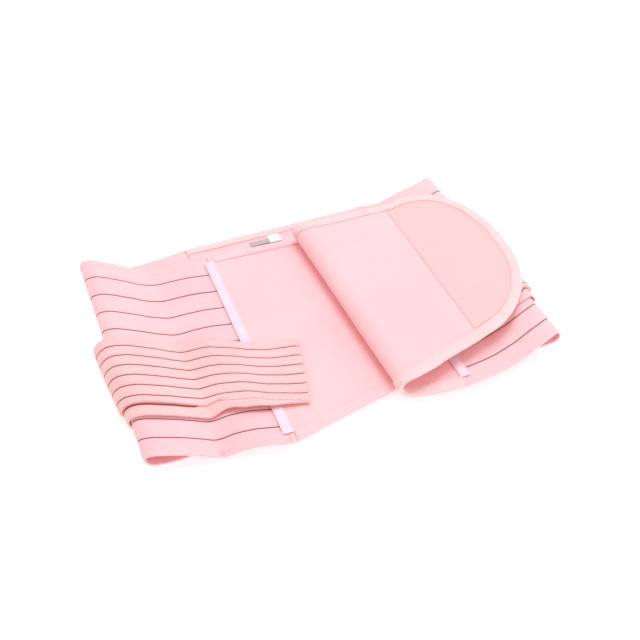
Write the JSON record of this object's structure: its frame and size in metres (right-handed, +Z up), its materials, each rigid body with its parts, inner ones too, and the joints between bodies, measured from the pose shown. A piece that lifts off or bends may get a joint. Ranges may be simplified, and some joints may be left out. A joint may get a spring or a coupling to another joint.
{
  "type": "abdominal binder",
  "caption": "Elastic belly belt lying flat as a loop, its front flap folded open over ribbed side panels and wrap straps.",
  "frame": {"origin": "middle of the underside of the belt's box, on the surface that it lies on", "axes": "+X along the belt, towards the fold on the side of the open flap; +Y across it, towards its upper edge; +Z up"},
  "size_m": [0.3542, 0.249, 0.0296],
  "materials": {
    "panel": "smooth brushed knit, matt",
    "elastic": "ribbed elastic with thin dark lines",
    "strap": "ribbed elastic webbing with thin dark lines",
    "binding": "folded knit tape with stitching",
    "ribbon": "satin ribbon",
    "hook": "fine hook fastener, matt",
    "tag": "blank woven tag",
    "label": "blank woven label"
  },
  "bodies": {
    "root": {"back_panel": "panel", "back_binding_near": "binding", "back_binding_far": "binding", "left_elastic": "elastic", "right_elastic": "elastic", "front_panel": "panel", "front_binding": "binding", "hook_panel": "panel", "hook_binding": "binding", "hook_patch": "hook", "left_seam_tape": "ribbon", "right_seam_tape": "ribbon", "left_strap": "strap", "left_strap_hook": "hook", "right_strap": "strap", "right_strap_hook": "hook", "size_tag": "tag", "care_label": "label"}
  },
  "joints": []
}
